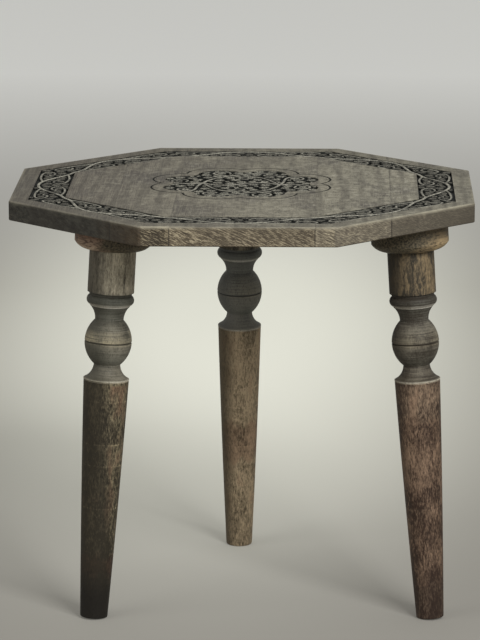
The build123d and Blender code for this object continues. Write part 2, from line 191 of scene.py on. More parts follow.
    # The edge of the top: end grain in short slanting dashes, washed cream, darker to the left.
    dashes = node("ShaderNodeTexNoise", {"Vector": node("ShaderNodeMapping", {
        "Vector": node("ShaderNodeVectorRotate", {"Vector": place, "Angle": radians(-24)},
                       rotation_type="Y_AXIS"),
        "Scale": (1 / (4.5 * MM), 1 / (4.5 * MM), 1 / (0.6 * MM))}),
        "Scale": 1.0, "Detail": 4.0, "Roughness": 0.65})
    cream = node("ShaderNodeMapRange", {"Value": dashes, "From Min": 0.5, "From Max": 0.6})
    cream = math({0: cream, 1: node("ShaderNodeMapRange", {
        "Value": clouds, "From Min": 0.35, "From Max": 0.62, "To Min": 0.5, "To Max": 1.0})},
        operation="MULTIPLY")
    stained, rubbed = edge_shades[number - 1]
    edge = mix({"Factor": cream, "A": linear(stained), "B": linear(rubbed)})
    edge = mix({"Factor": node("ShaderNodeMapRange", {"Value": dashes, "From Min": 0.45,
                                                      "From Max": 0.34, "To Max": 0.85}),
                "A": edge, "B": linear("#272118")})
    # The left front face is painted near black: partly its own dark stain, partly painted shade for the
    # side away from the light.
    stained_and_shaded_left_face = node("ShaderNodeMapRange", {"Value": node("ShaderNodeVectorMath", {
        0: place, 1: (-cos(pi / 4), -sin(pi / 4), 0)}, operation="DOT_PRODUCT"),
        "From Min": top_reach - 2.2 * MM, "From Max": top_reach - 1.2 * MM, "To Max": 0.9})
    towards_front = node("ShaderNodeMapRange", {"Value": parts["X"], "From Min": -0.125,
                                                "From Max": -0.085})
    edge = mix({"Factor": stained_and_shaded_left_face, "A": edge, "B": mix({
        "Factor": math({0: towards_front, 1: dashes}, operation="MULTIPLY"),
        "A": mix({"Factor": node("ShaderNodeMapRange", {"Value": mottle, "From Min": 0.4,
                                                        "From Max": 0.62}),
                  "A": linear("#121311"), "B": linear("#3a3a34")}),
        "B": linear("#513f28")})})
    greyed = node("ShaderNodeMapRange", {"Value": node("ShaderNodeVectorMath", {
        0: place, 1: (cos(pi / 4), -sin(pi / 4), 0)}, operation="DOT_PRODUCT"),
        "From Min": top_reach - 2.2 * MM, "From Max": top_reach - 1.2 * MM, "To Max": 0.4})
    edge = mix({"Factor": greyed, "A": edge, "B": linear("#5d584f")})
    # The right front face grows darker towards its right end.
    darker_to_right_end = node("ShaderNodeMapRange", {"Value": parts["X"], "From Min": 0.112,
                                         "From Max": 0.17, "To Max": 0.75})
    edge = mix({"Factor": darker_to_right_end, "A": edge, "B": linear("#484238")})
    smoked = node("ShaderNodeMapRange", {"Value": clouds, "From Min": 0.52, "From Max": 0.36,
                                         "To Max": 0.3})
    edge = mix({"Factor": smoked, "A": edge, "B": linear("#332d25")})

    # Stain has crept out of the medallion's cut line, which is eight arcs of 29.9 mm radius.
    spot = node("ShaderNodeVectorMath", {0: place, 1: (-2.5 * MM, 10 * MM, 0)},
                operation="SUBTRACT")
    flat = node("ShaderNodeSeparateXYZ", {"Vector": spot}).node.outputs
    bearing = math({0: math({0: flat["Y"], 1: flat["X"]}, operation="ARCTAN2"), 1: 2 * pi})
    lobe = math({0: math({0: bearing, 1: pi / 4}, operation="MODULO"), 1: pi / 8},
                operation="SUBTRACT")
    reach = math({0: math({0: flat["X"], 1: 2.0}, operation="POWER"),
                  1: math({0: flat["Y"], 1: 2.0}, operation="POWER")})
    reach = math({0: reach}, operation="SQRT")
    along = math({0: math({0: reach, 1: math({0: lobe}, operation="COSINE")},
                          operation="MULTIPLY"), 1: 53.1 * MM}, operation="SUBTRACT")
    aside = math({0: reach, 1: math({0: lobe}, operation="SINE")}, operation="MULTIPLY")
    from_arc = math({0: math({0: math({0: along, 1: 2.0}, operation="POWER"),
                              1: math({0: aside, 1: 2.0}, operation="POWER")})},
                    operation="SQRT")
    from_line = math({0: math({0: from_arc, 1: 29.3 * MM}, operation="SUBTRACT")},
                     operation="ABSOLUTE")
    crept = node("ShaderNodeMapRange", {"Value": from_line, "From Min": 1.35 * MM,
                                        "From Max": 0.75 * MM, "To Max": 0.85})
    crept = math({0: crept, 1: math({0: along, 1: 0.0}, operation="GREATER_THAN")},
                 operation="MULTIPLY")
    wash = mix({"Factor": crept, "A": wash, "B": linear("#24251f")})

    # The glue lines between the boards show as thin dark lines, most of all on the edge.
    seam = None
    for joint in joint_places:
        gap = math({0: math({0: parts["X"], 1: joint}, operation="SUBTRACT")},
                   operation="ABSOLUTE")
        near = node("ShaderNodeMapRange", {"Value": gap, "From Min": 0.75 * MM,
                                           "From Max": 0.2 * MM})
        seam = near if seam is None else math({0: seam, 1: near}, operation="MAXIMUM")
    edge = mix({"Factor": math({0: seam, 1: 0.75}, operation="MULTIPLY"), "A": edge,
                "B": linear("#241f19")})
    wash = mix({"Factor": math({0: seam, 1: 0.22}, operation="MULTIPLY"), "A": wash,
                "B": linear("#3b3731")})

    side = node("ShaderNodeMapRange", {"Value": out, "From Min": top_reach - 0.9 * MM,
                                       "From Max": top_reach - 0.25 * MM})
    low = node("ShaderNodeMapRange", {"Value": height, "From Min": -0.3 * MM,
                                      "From Max": -1.2 * MM})
    side = math({0: side, 1: low}, operation="MULTIPLY")
    colour = mix({"Factor": side, "A": wash, "B": edge})
    worn = math({0: worn, 1: math({0: 1.0, 1: math({0: stained_and_shaded_left_face, 1: 0.7}, operation="MULTIPLY")},
                                  operation="SUBTRACT")}, operation="MULTIPLY")
    colour = mix({"Factor": worn, "A": colour, "B": linear("#aaa38f")})

    # Stain lies thick in the carving, and the underside is left brown and plain.
    inside = math({0: out, 1: carving_limit}, operation="LESS_THAN")
    deep = math({0: node("ShaderNodeMapRange", {"Value": height, "From Min": -0.15 * MM,
                                                "From Max": -0.9 * MM}), 1: inside},
                operation="MULTIPLY")
    colour = mix({"Factor": deep, "A": colour, "B": linear("#1e201d")})
    under = node("ShaderNodeMapRange", {"Value": height, "From Min": -top_thickness + 0.6 * MM,
                                        "From Max": -top_thickness + 0.2 * MM})
    colour = mix({"Factor": under, "A": colour, "B": mix({
        "Factor": fibres, "A": linear("#3a3026"), "B": linear("#6e5e48")})})
    tree.links.new(colour, shader.inputs["Base Color"])

    roughness = node("ShaderNodeMapRange", {"Value": clouds, "From Min": 0.3, "From Max": 0.7,
                                            "To Min": 0.62, "To Max": 0.82})
    tree.links.new(roughness, shader.inputs["Roughness"])
    relief = math({0: fibres, 1: pores}, operation="SUBTRACT")
    relief = math({0: relief, 1: math({0: dashes, 1: side}, operation="MULTIPLY")})
    relief = math({0: relief, 1: seam}, operation="SUBTRACT")
    bump = node("ShaderNodeBump", {"Strength": 0.5, "Distance": 0.35 * MM, "Height": relief})
    tree.links.new(bump, shader.inputs["Normal"])
    return material


for number, name in enumerate(board_names, start=1):
    board = frame["nodes"][name]
    board.data.materials.clear()
    board.data.materials.append(washed_board_wood(f"washed_board_{number}", number))


# The vine in the band: cut from the boards with gouges, left standing 2.4 mm above the sunk
# ground. A main stem swings between the edges of the band, and side stems curl round the leaves.
band_middle = top_reach / MM - 31.75
band_half = 15.75
ground = top_height - carving_depth
gouge = Random(7)


def rubbed_relief_wood(name, washed, bare):
    """The same washed wood on the carving: its tops rubbed pale grey, its walls stained black."""
    material, tree, shader = start_material(name, IOR=1.5, Roughness=0.72, Specular_IOR_Level=0.25)
    node = partial(add_node, tree)
    mix = partial(add_node, tree, "ShaderNodeMix", data_type="RGBA")
    place = node("ShaderNodeTexCoord").node.outputs["Object"]
    height = node("ShaderNodeSeparateXYZ", {"Vector": place}).node.outputs["Z"]
    grain = node("ShaderNodeTexNoise", {"Vector": node("ShaderNodeMapping", {
        "Vector": place, "Scale": (1 / (1.2 * MM), 1 / (5 * MM), 1 / (1.2 * MM))}),
        "Scale": 1.0, "Detail": 4.0, "Roughness": 0.6})
    patches = node("ShaderNodeTexNoise", {"Vector": node("ShaderNodeMapping", {
        "Vector": place, "Scale": (1 / (16 * MM),) * 3}), "Scale": 1.0, "Detail": 3.0})
    rubbed = mix({"Factor": node("ShaderNodeMapRange", {"Value": grain, "From Min": 0.38,
                                                        "From Max": 0.66}),
                  "A": linear(washed), "B": linear(bare)})
    rubbed = mix({"Factor": node("ShaderNodeMapRange", {"Value": patches, "From Min": 0.52,
                                                        "From Max": 0.34, "To Max": 0.7}),
                  "A": rubbed, "B": linear("#4a4842")})
    deep = node("ShaderNodeMapRange", {"Value": height, "From Min": top_height - 0.38 * MM,
                                       "From Max": top_height - 0.8 * MM})
    colour = mix({"Factor": deep, "A": rubbed, "B": linear("#191a17")})
    tree.links.new(colour, shader.inputs["Base Color"])
    bump = node("ShaderNodeBump", {"Strength": 0.5, "Distance": 0.3 * MM, "Height": grain})
    tree.links.new(bump, shader.inputs["Normal"])
    return material


def hand_cut(x, y):
    """A place of the carving's pattern, up to 0.8 mm off where a drawn pattern has it."""
    return Vector((x + 0.8 * sin((x + 0.6 * y) / 17 + 1),
                   y + 0.8 * sin((0.9 * y - 0.55 * x) / 17), 0))


def band_point(side, along, out):
    """A place in the band: a share along one of the eight sides, and one of half its width."""
    reach = band_middle + out * band_half
    x = 2 * along * reach * tan(radians(22.5))
    turn = radians(45 * side)
    return hand_cut(x * cos(turn) + reach * sin(turn), x * sin(turn) - reach * cos(turn))


def only(*chosen):
    """Selects just these objects, the first one active."""
    bpy.ops.object.select_all(action="DESELECT")
    for one in chosen:
        one.select_set(True)
    bpy.context.view_layer.objects.active = chosen[0]


def curl_bud(place, reach):
    """The round bud that ends a curl, or that covers a fork: a low dome on the ground."""
    bpy.ops.mesh.primitive_uv_sphere_add(segments=12, ring_count=6, radius=1)
    bud = bpy.context.object
    bud.data.transform(Matrix.Translation((place.x * MM, place.y * MM, ground + 0.7 * MM))
                       @ Matrix.Diagonal((reach * MM, reach * MM, 1.75 * MM, 1)))
    return bud


def carve_stems(name, paths):
    """Stems of one round-backed section along smooth curves; gives them and their centre line."""
    profile = bpy.data.curves.new(name + "_section", "CURVE")
    profile.dimensions = "2D"
    outline = profile.splines.new("POLY")
    corners = [(-1.35, -0.2), (1.35, -0.2), (1.3, 1.85), (0.95, 2.3), (0.35, 2.45),
               (-0.35, 2.45), (-0.95, 2.3), (-1.3, 1.85)]
    outline.points.add(len(corners) - 1)
    for point, (x, y) in zip(outline.points, corners):
        point.co = (x * MM, y * MM, 0, 1)
    outline.use_cyclic_u = True
    section = bpy.data.objects.new(name + "_section", profile)
    bpy.context.scene.collection.objects.link(section)

    drawn = bpy.data.curves.new(name, "CURVE")
    drawn.dimensions = "3D"
    drawn.twist_mode = "Z_UP"
    drawn.resolution_u = 3
    for points, thick_stem_and_painted_shade, thin, closed in paths:
        points = points if closed else points[:1] * 2 + points + points[-1:] * 2
        spline = drawn.splines.new("NURBS")
        spline.points.add(len(points) - 1)
        for count, (point, place) in enumerate(zip(spline.points, points)):
            point.co = (place.x * MM, place.y * MM, ground, 1)
            point.radius = thick_stem_and_painted_shade + (thin - thick_stem_and_painted_shade) * count / (len(points) - 1)
        spline.use_cyclic_u = closed
        spline.order_u = 4
    stems = bpy.data.objects.new(name, drawn)
    bpy.context.scene.collection.objects.link(stems)
    line = [corner.co / MM for corner in bpy.data.meshes.new_from_object(stems).vertices]
    drawn.bevel_mode = "OBJECT"
    drawn.bevel_object = section
    drawn.use_fill_caps = True
    only(stems)
    bpy.ops.object.convert(target="MESH")
    bpy.data.objects.remove(section)
    bpy.ops.object.mode_set(mode="EDIT")
    bpy.ops.mesh.select_all(action="SELECT")
    bpy.ops.mesh.remove_doubles(threshold=0.01 * MM)
    bpy.ops.mesh.normals_make_consistent(inside=False)
    bpy.ops.object.mode_set(mode="OBJECT")
    buds = [curl_bud(points[-1], 1.8) for points, _, _, closed in paths if not closed]
    only(stems, *buds)
    bpy.ops.object.join()
    bpy.ops.object.shade_smooth_by_angle(angle=radians(40))
    return stems, line


def carve_leaf(name, outline):
    """A lobed leaf of 1 mm reach on its ground, pointing along +X, a vein cut down each lobe.
    The outline gives one half's bearings in degrees, its reaches, and where the veins run."""
    half = len(outline) - 1
    bpy.ops.mesh.primitive_cylinder_add(vertices=2 * half, radius=1, depth=2 * MM)
    leaf = bpy.context.object
    leaf.name = name
    leaf.data.transform(Matrix.Translation((0, 0, 0.8 * MM)) @ Matrix.Rotation(-pi / 2, 4, "Z"))
    bpy.context.tool_settings.mesh_select_mode = (False, False, True)
    bpy.ops.object.mode_set(mode="EDIT")
    bpy.ops.mesh.select_all(action="DESELECT")
    bpy.ops.object.mode_set(mode="OBJECT")
    for face in leaf.data.polygons:
        face.select = face.normal.z > 0.9
    bpy.ops.object.mode_set(mode="EDIT")
    bpy.ops.mesh.inset(thickness=0.3, depth=0.6 * MM)
    bpy.ops.mesh.poke(offset=-0.35 * MM)
    bpy.ops.object.mode_set(mode="OBJECT")
    for corner in leaf.data.vertices:
        step = atan2(corner.co.y, corner.co.x) / pi * half
        bearing, share, veined = outline[round(abs(step))]
        reach = hypot(corner.co.x, corner.co.y) * share
        if veined and 0.1 < reach < 0.75 and corner.co.z > 2 * MM:
            corner.co.z -= 0.55 * MM
        corner.co.x = reach * cos(radians(bearing))
        corner.co.y = reach * sin(radians(bearing)) * (1 if step > 0 else -1)
    return leaf


def fill_with_leaves(taken, line, spots, kinds, room):
    """Adds smaller leaves where they fit, each with its stalk towards the nearest stem. A spot
    is taken only if room says that the leaf stays within its carved ground."""
    stems = KDTree(len(line))
    for count, place in enumerate(line):
        stems.insert((place.x, place.y, 0), count)
    stems.balance()
    for kind, reach in kinds:
        for spot in spots:
            near, _, gap = stems.find((spot.x, spot.y, 0))
            if gap < 0.8 * reach + 0.6 or not room(spot, reach):
                continue
            if any((spot - other).length < 1.05 * (reach + size) for other, size, _, _ in taken):
                continue
            turn = atan2(spot.y - near.y, spot.x - near.x) + radians(gouge.uniform(-30, 30))
            taken.append((spot, reach, turn, kind))
    return taken


def place_leaves(name, taken):
    """Copies each leaf to its place, and joins the copies into one piece."""
    copies = []
    for spot, reach, turn, kind in taken:
        copy = bpy.data.objects.new(name, kind.data.copy())
        bpy.context.scene.collection.objects.link(copy)
        size = Matrix.Diagonal((reach * MM, reach * MM, gouge.uniform(0.95, 1.0), 1))
        copy.data.transform(Matrix.Translation((spot.x * MM, spot.y * MM, ground))
                            @ Matrix.Rotation(turn, 4, "Z") @ size)
        copies.append(copy)
    only(*copies)
    bpy.ops.object.join()
    leaves = bpy.context.object
    leaves.name = name
    bpy.ops.object.shade_smooth_by_angle(angle=radians(35))
    return leaves


ivy_leaf = carve_leaf("ivy_leaf", [
    (0, 1.04, True), (14, 0.92, False), (32, 0.68, False), (48, 0.88, False), (63, 1.0, True),
    (78, 0.87, False), (95, 0.66, False), (112, 0.84, False), (126, 0.93, True),
    (146, 0.74, False), (164, 0.55, False), (180, 0.53, False)])
small_leaf = carve_leaf("small_leaf", [
    (0, 1.0, True), (24, 0.82, False), (44, 0.62, False), (64, 0.84, False), (84, 0.94, True),
    (112, 0.72, False), (146, 0.52, False), (180, 0.5, False)])
stem_wood = rubbed_relief_wood("rubbed_stems", "#77756c", "#b3afa0")
band_leaf_wood = rubbed_relief_wood("rubbed_band_leaves", "#403e38", "#7b786d")

wave = [band_point(side, step / 12, 0.84 * cos(radians(30 * step)))
        for side in range(8) for step in range(-6, 6)]
side_stems = [
    [(0.12, 0.60), (0.21, 0.80), (0.33, 0.82), (0.43, 0.73), (0.475, 0.38), (0.43, 0.05),
     (0.36, 0.08), (0.345, 0.32)],
    [(0.40, -0.635), (0.30, -0.825), (0.19, -0.845), (0.085, -0.73), (0.045, -0.32),
     (0.09, 0.013), (0.16, -0.04), (0.18, -0.29)]]
band_leaf_rows = [
    (0.054, 0.23, 0.37, 119), (0.500, -0.09, 0.37, -137), (0.000, -0.24, 0.37, 170),
    (0.282, 0.32, 0.37, 68), (0.500, 0.66, 0.37, 149), (0.225, -0.42, 0.37, 93),
    (0.431, -0.31, 0.37, 72), (0.132, -0.40, 0.33, -106), (0.036, -0.75, 0.29, -142),
    (0.401, 0.40, 0.29, 98), (0.358, -0.17, 0.25, 72), (0.219, 0.49, 0.25, -83),
    (0.124, 0.26, 0.25, 92), (0.000, 0.48, 0.25, -90), (0.288, -0.52, 0.25, 109)]
band_paths = [(wave, 1.0, 1.0, True)]
band_rows = []
for side in range(8):
    for hand in (1, -1):
        for stem in side_stems:
            band_paths.append(([band_point(side, hand * along, out) for along, out in stem],
                               0.92, 0.85, False))
        for along, out, share, bearing in band_leaf_rows:
            if hand == 1 or 0 < along < 0.5:
                tip = bearing if hand == 1 else 180 - bearing
                band_rows.append((band_point(side, hand * along, out), 0.92 * share * band_half,
                                  radians(45 * side - tip), ivy_leaf))
band_stems, band_line = carve_stems("carved_band_stems", band_paths)


def octagon_reach(spot):
    """How far out a spot lies, square to the nearest side of the octagon, in mm."""
    x, y = abs(spot.x), abs(spot.y)
    return max(x, y, (x + y) * cos(pi / 4))


def room_in_band(spot, reach):
    return abs(octagon_reach(spot) - band_middle) < band_half - 0.75 * reach


grid = 1.7
steps = range(-ceil(190 / grid), ceil(190 / grid) + 1)
spots = [Vector((x * grid + gouge.uniform(-0.8, 0.8), y * grid + gouge.uniform(-0.8, 0.8), 0))
         for x in steps for y in steps]
gouge.shuffle(spots)
band_spots = [spot for spot in spots if abs(octagon_reach(spot) - band_middle) < band_half - 1.5]
fillers = [(small_leaf, 3.0)]
band_leaves = place_leaves("carved_band_leaves", fill_with_leaves(
    band_rows, band_line, band_spots, fillers, room_in_band))
for piece, wood in ((band_stems, stem_wood), (band_leaves, band_leaf_wood)):
    piece.data.materials.append(wood)
    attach(piece, "table_top")


# The medallion in the middle of the top: the same vine inside a plain lobed border, with two
# forks from which the stems curl round to all sides. Half of it is the other half turned round.
medallion_middle = Vector((-2.5, 10, 0))
medallion_reach = 83
centre_stem = [(0.40, -0.04), (0.29, 0.07), (0.14, 0.10), (0, 0), (-0.14, -0.10),
               (-0.29, -0.07), (-0.40, 0.04)]
half_stems = [
    [(0.40, -0.04), (0.36, -0.22), (0.24, -0.41), (0.07, -0.54), (-0.11, -0.65),
     (-0.29, -0.69), (-0.41, -0.59), (-0.35, -0.48), (-0.24, -0.53)],
    [(0.40, -0.04), (0.34, 0.14), (0.24, 0.36), (0.11, 0.46), (-0.04, 0.42), (-0.05, 0.31),
     (0.05, 0.28)],
    [(0.40, -0.04), (0.46, 0.13), (0.46, 0.34), (0.54, 0.48), (0.67, 0.41), (0.67, 0.28),
     (0.57, 0.24)],
    [(0.40, -0.04), (0.55, 0.02), (0.71, -0.04), (0.76, -0.19), (0.67, -0.31),
     (0.55, -0.24), (0.58, -0.13)],
    [(0.16, -0.48), (0.27, -0.54), (0.35, -0.65), (0.27, -0.76), (0.14, -0.73),
     (0.14, -0.64)]]
half_leaf_rows = [
    (-0.390, 0.553, 0.077, -153), (0.291, 0.411, 0.077, 31), (-0.459, 0.226, 0.077, 159),
    (-0.009, 0.100, 0.077, 130), (-0.129, 0.359, 0.077, 176), (-0.631, -0.153, 0.077, 110),
    (0.154, 0.251, 0.077, -14), (-0.048, 0.660, 0.077, 114), (-0.244, 0.206, 0.077, -26),
    (-0.181, -0.748, 0.077, -79), (-0.255, 0.051, 0.077, 51), (0.745, 0.273, 0.077, -24),
    (-0.159, -0.559, 0.077, -19), (-0.654, 0.382, 0.077, 92), (-0.366, 0.377, 0.077, 136),
    (0.430, 0.459, 0.077, 143), (-0.073, 0.237, 0.077, -132), (0.373, 0.286, 0.077, 168),
    (0.528, -0.340, 0.077, -133), (-0.579, -0.347, 0.077, 23), (0.492, -0.095, 0.077, -67),
    (-0.231, 0.650, 0.077, 179), (0.119, -0.026, 0.077, -57), (0.039, 0.520, 0.067, -48),
    (-0.654, 0.166, 0.067, 169), (0.092, 0.360, 0.067, -101), (0.325, 0.738, 0.067, 75),
    (0.278, -0.467, 0.067, 49), (-0.397, 0.687, 0.067, 167), (-0.248, -0.154, 0.067, 23),
    (-0.516, -0.093, 0.067, 169), (-0.701, -0.045, 0.067, -126), (0.292, 0.582, 0.059, 71),
    (0.063, 0.700, 0.059, 102), (0.447, 0.591, 0.059, 3), (-0.107, -0.136, 0.059, -78),
    (0.757, -0.313, 0.059, -41), (-0.064, 0.458, 0.059, -60)]


def medallion_point(hand, x, y):
    return medallion_middle + hand_cut(hand * x * medallion_reach, hand * y * medallion_reach)


medallion_paths = [([medallion_point(1, x, y) for x, y in centre_stem], 1.0, 1.0, False)]
medallion_rows = []
for hand in (1, -1):
    for stem in half_stems:
        medallion_paths.append(([medallion_point(hand, x, y) for x, y in stem], 1.0, 0.85, False))
    for x, y, share, bearing in half_leaf_rows:
        medallion_rows.append((medallion_point(hand, x, y), 0.94 * share * medallion_reach,
                               radians(bearing + 90 - 90 * hand), ivy_leaf))
medallion_stems, medallion_line = carve_stems("carved_medallion_stems", medallion_paths)
forks = [curl_bud(medallion_point(hand, 0.40, -0.04), 2.8) for hand in (1, -1)]
only(medallion_stems, *forks)
bpy.ops.object.join()
bpy.ops.object.shade_smooth_by_angle(angle=radians(40))


def room_in_medallion(spot, reach):
    """The ground's edge bulges out 12 mm between its eight cusps, as the border does."""
    place = spot - medallion_middle
    share = (degrees(atan2(place.y, place.x)) / 45) % 1
    return place.length < 60 + 12 * sin(pi * share) - 0.75 * reach


medallion_spots = [spot for spot in spots if (spot - medallion_middle).length < 72]
medallion_leaves = place_leaves("carved_medallion_leaves", fill_with_leaves(
    medallion_rows, medallion_line, medallion_spots, fillers, room_in_medallion))
medallion_leaf_wood = rubbed_relief_wood("rubbed_medallion_leaves", "#54524b", "#aeab9c")
for piece, wood in ((medallion_stems, stem_wood), (medallion_leaves, medallion_leaf_wood)):
    piece.data.materials.append(wood)
    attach(piece, "table_top")
for pattern in (ivy_leaf, small_leaf):
    bpy.data.objects.remove(pattern)


# The three pads under the top: discs turned from the same wood, stained brown, screwed to the
# boards from below. Each is turned square to its leg and planed flat where it meets the boards.
leg_sides = ("left", "right", "back")
leg_hinges = {side: next(joint for joint in frame["joints"]
                         if joint["name"] == f"leg_{side}_unscrew") for side in leg_sides}


def along_leg(node, side):
    """Object coordinates turned and centred so that Z runs up the leg from its seat."""
    up = -Vector(leg_hinges[side]["axis"])
    return node("ShaderNodeMapping", {
        "Vector": node("ShaderNodeTexCoord").node.outputs["Object"],
        "Location": leg_hinges[side]["pos_m"], "Rotation": up.to_track_quat("Z", "Y").to_euler()},
        vector_type="TEXTURE")


def stained_pad_wood(name, side, shift, warm, bare):
    """Nearly black stained hardwood with its grain across the disc, rusty in patches, and rubbed
    warm on the lower round of the side that faces away from the table's middle."""
    material, tree, shader = start_material(name, IOR=1.5, Specular_IOR_Level=0.25)
    node = partial(add_node, tree)
    math = partial(add_node, tree, "ShaderNodeMath")
    mix = partial(add_node, tree, "ShaderNodeMix", data_type="RGBA")
    place = along_leg(node, side)
    height = node("ShaderNodeSeparateXYZ", {"Vector": place}).node.outputs["Z"]
    fibres = node("ShaderNodeTexNoise", {"Vector": node("ShaderNodeMapping", {
        "Vector": place, "Location": (shift, shift, 0),
        "Scale": (1 / (26 * MM), 1 / (1.6 * MM), 1 / (1.6 * MM))}),
        "Scale": 1.0, "Detail": 5.0, "Roughness": 0.62})
    clouds = node("ShaderNodeTexNoise", {"Vector": node("ShaderNodeMapping", {
        "Vector": place, "Location": (shift, 0, 0), "Scale": (1 / (22 * MM),) * 3}),
        "Scale": 1.0, "Detail": 3.0})
    stain = mix({"Factor": node("ShaderNodeMapRange", {"Value": fibres, "From Min": 0.36,
                                                       "From Max": 0.68}),
                 "A": linear("#2b2922"), "B": linear("#766b56")})
    seat = Vector(leg_hinges[side]["pos_m"])
    outward = node("ShaderNodeVectorMath", {0: node("ShaderNodeVectorMath", {
        0: node("ShaderNodeTexCoord").node.outputs["Object"], 1: seat}, operation="SUBTRACT"),
        1: Vector((seat.x, 0, 0)).normalized()}, operation="DOT_PRODUCT")
    outward = math({0: outward, 1: math({0: math({0: clouds, 1: -0.5}), 1: 40 * MM},
                                        operation="MULTIPLY")})
    outer = node("ShaderNodeMapRange", {"Value": outward, "From Min": 4 * MM,
                                        "From Max": 18 * MM})
    stain = mix({"Factor": math({0: node("ShaderNodeMapRange", {
        "Value": fibres, "From Min": 0.4, "From Max": 0.6, "To Min": 0.3, "To Max": 0.8}),
        1: outer}, operation="MULTIPLY"), "A": stain, "B": linear(warm)})
    rubbed = math({0: node("ShaderNodeMapRange", {"Value": height, "From Min": 15 * MM,
                                                  "From Max": 3 * MM}),
                   1: node("ShaderNodeMapRange", {"Value": fibres, "From Min": 0.36,
                                                  "From Max": 0.58, "To Min": 0.1,
                                                  "To Max": 1.0})}, operation="MULTIPLY")
    rubbed = math({0: rubbed, 1: outer}, operation="MULTIPLY")
    stain = mix({"Factor": rubbed, "A": stain, "B": linear(bare)})
    tree.links.new(stain, shader.inputs["Base Color"])
    roughness = node("ShaderNodeMapRange", {"Value": fibres, "From Min": 0.3, "From Max": 0.7,
                                            "To Min": 0.5, "To Max": 0.72})
    tree.links.new(roughness, shader.inputs["Roughness"])
    bump = node("ShaderNodeBump", {"Strength": 0.45, "Distance": 0.3 * MM, "Height": fibres})
    tree.links.new(bump, shader.inputs["Normal"])
    return material


for side, shift, warm, bare in (("left", 0.0, "#835c4c", "#c6b098"),
                                ("right", 4.0, "#71614a", "#bda47c"),
                                ("back", 8.0, "#4f4636", "#8d7c60")):
    pad = frame["nodes"][f"leg_pad_{side}"]
    pad.data.materials.clear()
    pad.data.materials.append(stained_pad_wood(f"stained_pad_{side}", side, shift, warm,
                                                bare))


# The three legs: each turned between centres from one square of the same hardwood, stained
# nearly black, then rubbed so that bare wood shows on the shaft and along the sharp edges.
# Each row is a distance from the seat in mm, the rubbed wood's colour, how much of it shows,
# and the stain's colour there.
turning_finish = [
    (0, "collar", 0.3, "#38332a"), (33, "collar", 0.36, "#38332a"),
    (37, "collar", 0.34, "#2e2a22"), (38, "#474a42", 0.1, "#141412"),
    (40, "#474a42", 0.1, "#141412"), (41.5, "#6a6c63", 0.3, "#1e201c"),
    (47.2, "#6a6c63", 0.26, "#1e201c"), (47.6, "#f2ede0", 1.0, "#b8b1a0"),
    (48.7, "#f2ede0", 1.0, "#b8b1a0"), (49.1, "#696a61", 0.26, "#1d1e1b"),
    (60, "#74746a", 0.34, "#20211d"), (64, "#807c6f", 0.34, "#262521"),
    (79.8, "#918a77", 0.4, "#2b2a25"), (80.2, "#1f1d19", 0.0, "#141310"),
    (81.6, "#1f1d19", 0.0, "#141310"), (82.0, "#a39a84", 0.6, "#3d3a31"),
    (83.5, "#857f70", 0.44, "#2a2a25"), (99, "#74746a", 0.34, "#1f201c"),
    (102, "#7b7567", 0.34, "#26241f"), (112.8, "#7b7567", 0.38, "#2c2921"),
    (113.4, "#e8e2d2", 1.0, "#a09885"), (114.2, "#d8d0bc", 0.95, "#8d8574"),
    (114.9, "shaft", 0.3, "shaft"), (196, "shaft", 0.3, "shaft"),
    (296, "shaft", 0.26, "shaft"), (326, "shaft", 0.2, "shaft"),
]
turned_length = 328.0
# Each leg's own tones. The left leg's collar and the grey on the back leg's turned part are set paler
# to make up for the shade they stand in: painted light.
leg_tones = {
    "left": {"shift": 0.0, "zones": (0.45, 0.42, -0.14), "collar": "#d0c6ae",
             "shaft": ("#978a6e", "#2d281e"),
             "foot": (0.85, "#16130f"), "ball": (0.22, "#848070"), "girdle": 0.8,
             "ledges": 0.8, "rust": (0.75, 262, 292)},
    "right": {"shift": 7.0, "zones": (-0.02, 0.05, 0.01), "collar": "#a58f6d",
              "shaft": ("#96806a", "#35281f"),
              "foot": (0.5, "#2c1f19"), "ball": (0.35, "#544a3e"), "girdle": 0.12,
              "ledges": 0.2, "rust": (0.35, 140, 300)},
    "back": {"shift": 13.0, "zones": (0.06, 0.54, 0.44), "collar": "#b0a58c",
             "shaft": ("#ab987b", "#3e3526"),
             "foot": (0.15, "#4a3f33"), "ball": (0.5, "#787974"), "girdle": 0.05,
             "ledges": 1.0, "rust": (0.5, 196, 246)},
}


